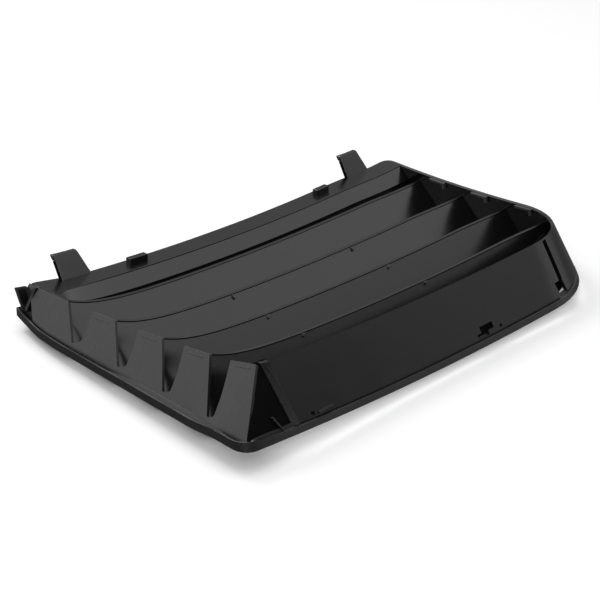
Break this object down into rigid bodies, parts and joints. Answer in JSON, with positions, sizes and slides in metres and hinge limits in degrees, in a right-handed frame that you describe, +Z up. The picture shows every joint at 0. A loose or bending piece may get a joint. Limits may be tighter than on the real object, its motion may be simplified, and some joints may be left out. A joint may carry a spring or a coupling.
{
  "type": "bumper grille",
  "caption": "Louvred bumper grille moulded in one piece, with sloping slats, a toothed end, a stepped rim, back hooks and end clips.",
  "frame": {"origin": "centre of the bounding box in plan, on the plane that the grille lies on", "axes": "X runs along the slats from the toothed end, Y points to the edge with the hooks, Z points up out of the fixing side"},
  "size_m": [0.4164, 0.272, 0.0563],
  "materials": {
    "body": "satin black moulded plastic"
  },
  "bodies": {
    "root": {"grille": "body"}
  },
  "joints": []
}
